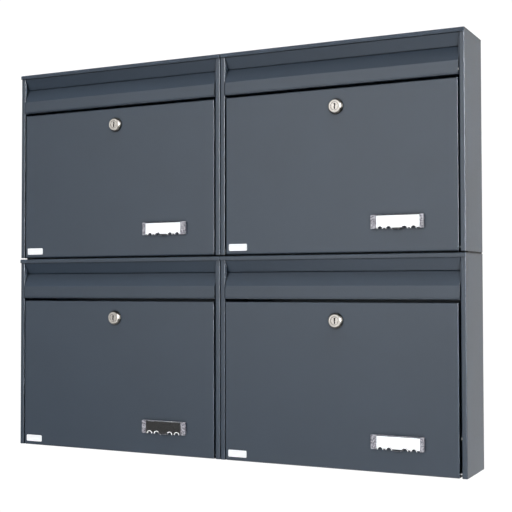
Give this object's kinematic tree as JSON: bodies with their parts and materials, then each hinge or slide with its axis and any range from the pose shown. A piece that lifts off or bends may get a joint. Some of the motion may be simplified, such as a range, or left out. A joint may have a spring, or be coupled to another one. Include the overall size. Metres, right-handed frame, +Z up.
{
  "type": "cluster mailbox unit",
  "caption": "Wall-hung bank of shallow sheet-metal letterboxes, each with a push-in slot flap and a bottom-hinged door with a cam lock and name holder.",
  "frame": {"origin": "on the wall plane, in the middle of the unit's wall screws", "axes": "+X across the unit to the viewer's right, +Y into the wall, +Z up"},
  "size_m": [0.7392, 0.0946, 0.6005],
  "materials": {
    "powder_coat": "matt fine-texture powder coat, anthracite grey",
    "nickel": "nickel-plated zinc, satin",
    "zinc_steel": "zinc-plated steel",
    "nylon": "natural nylon",
    "foam_rubber": "black foam rubber",
    "clear_plastic": "clear polycarbonate, glossy",
    "white_card": "white card, blank",
    "dark_card": "dark card, blank",
    "label_film": "white label film, blank"
  },
  "bodies": {
    "cabinet": {"bottom_pans": "powder_coat", "coupling_bolts": "zinc_steel", "coupling_nuts": "zinc_steel", "coupling_spacers": "nylon", "door_hinge_clips": "zinc_steel", "door_hinge_pins": "zinc_steel", "flap_rods": "zinc_steel", "lower_left_casing": "powder_coat", "lower_left_roof": "powder_coat", "lower_left_slot_rail": "powder_coat", "lower_right_casing": "powder_coat", "lower_right_roof": "powder_coat", "lower_right_slot_rail": "powder_coat", "row_gaskets": "foam_rubber", "upper_left_casing": "powder_coat", "upper_left_roof": "powder_coat", "upper_left_slot_rail": "powder_coat", "upper_right_casing": "powder_coat", "upper_right_roof": "powder_coat", "upper_right_slot_rail": "powder_coat"},
    "upper_left_door": {"upper_left_door": "powder_coat", "upper_left_lock_housing": "nickel", "upper_left_lock_nut": "zinc_steel", "upper_left_name_holder": "clear_plastic", "upper_left_name_card": "white_card", "upper_left_door_label": "label_film"},
    "upper_left_lock": {"upper_left_lock_barrel": "nickel", "upper_left_lock_cam": "zinc_steel", "upper_left_cam_screw": "zinc_steel"},
    "upper_left_flap": {"upper_left_flap": "powder_coat"},
    "upper_right_door": {"upper_right_door": "powder_coat", "upper_right_lock_housing": "nickel", "upper_right_lock_nut": "zinc_steel", "upper_right_name_holder": "clear_plastic", "upper_right_name_card": "white_card", "upper_right_door_label": "label_film"},
    "upper_right_lock": {"upper_right_lock_barrel": "nickel", "upper_right_lock_cam": "zinc_steel", "upper_right_cam_screw": "zinc_steel"},
    "upper_right_flap": {"upper_right_flap": "powder_coat"},
    "lower_left_door": {"lower_left_door": "powder_coat", "lower_left_lock_housing": "nickel", "lower_left_lock_nut": "zinc_steel", "lower_left_name_holder": "clear_plastic", "lower_left_name_card": "dark_card", "lower_left_door_label": "label_film"},
    "lower_left_lock": {"lower_left_lock_barrel": "nickel", "lower_left_lock_cam": "zinc_steel", "lower_left_cam_screw": "zinc_steel"},
    "lower_left_flap": {"lower_left_flap": "powder_coat"},
    "lower_right_door": {"lower_right_door": "powder_coat", "lower_right_lock_housing": "nickel", "lower_right_lock_nut": "zinc_steel", "lower_right_name_holder": "clear_plastic", "lower_right_name_card": "white_card", "lower_right_door_label": "label_film"},
    "lower_right_lock": {"lower_right_lock_barrel": "nickel", "lower_right_lock_cam": "zinc_steel", "lower_right_cam_screw": "zinc_steel"},
    "lower_right_flap": {"lower_right_flap": "powder_coat"}
  },
  "joints": [
    {"name": "upper_left_door_hinge", "type": "hinge", "parent": "cabinet", "child": "upper_left_door", "pos_m": [-0.185, -0.084, 0.0061], "axis": [1, 0, 0], "range_deg": [0, 105]},
    {"name": "upper_left_lock_turn", "type": "hinge", "parent": "upper_left_door", "child": "upper_left_lock", "pos_m": [-0.185, -0.0745, 0.2068], "axis": [0, 1, 0], "range_deg": [0, 90]},
    {"name": "upper_left_flap_hinge", "type": "hinge", "parent": "cabinet", "child": "upper_left_flap", "pos_m": [-0.185, -0.0855, 0.2931], "axis": [1, 0, 0], "range_deg": [0, 60]},
    {"name": "upper_right_door_hinge", "type": "hinge", "parent": "cabinet", "child": "upper_right_door", "pos_m": [0.185, -0.084, 0.0061], "axis": [1, 0, 0], "range_deg": [0, 105]},
    {"name": "upper_right_lock_turn", "type": "hinge", "parent": "upper_right_door", "child": "upper_right_lock", "pos_m": [0.1851, -0.0745, 0.2068], "axis": [0, 1, 0], "range_deg": [0, 90]},
    {"name": "upper_right_flap_hinge", "type": "hinge", "parent": "cabinet", "child": "upper_right_flap", "pos_m": [0.185, -0.0855, 0.2931], "axis": [1, 0, 0], "range_deg": [0, 60]},
    {"name": "lower_left_door_hinge", "type": "hinge", "parent": "cabinet", "child": "lower_left_door", "pos_m": [-0.185, -0.084, -0.2951], "axis": [1, 0, 0], "range_deg": [0, 105]},
    {"name": "lower_left_lock_turn", "type": "hinge", "parent": "lower_left_door", "child": "lower_left_lock", "pos_m": [-0.1855, -0.0745, -0.0944], "axis": [0, 1, 0], "range_deg": [0, 90]},
    {"name": "lower_left_flap_hinge", "type": "hinge", "parent": "cabinet", "child": "lower_left_flap", "pos_m": [-0.185, -0.0855, -0.0081], "axis": [1, 0, 0], "range_deg": [0, 60]},
    {"name": "lower_right_door_hinge", "type": "hinge", "parent": "cabinet", "child": "lower_right_door", "pos_m": [0.185, -0.084, -0.2951], "axis": [1, 0, 0], "range_deg": [0, 105]},
    {"name": "lower_right_lock_turn", "type": "hinge", "parent": "lower_right_door", "child": "lower_right_lock", "pos_m": [0.1838, -0.0745, -0.0944], "axis": [0, 1, 0], "range_deg": [0, 90]},
    {"name": "lower_right_flap_hinge", "type": "hinge", "parent": "cabinet", "child": "lower_right_flap", "pos_m": [0.185, -0.0855, -0.0081], "axis": [1, 0, 0], "range_deg": [0, 60]}
  ]
}
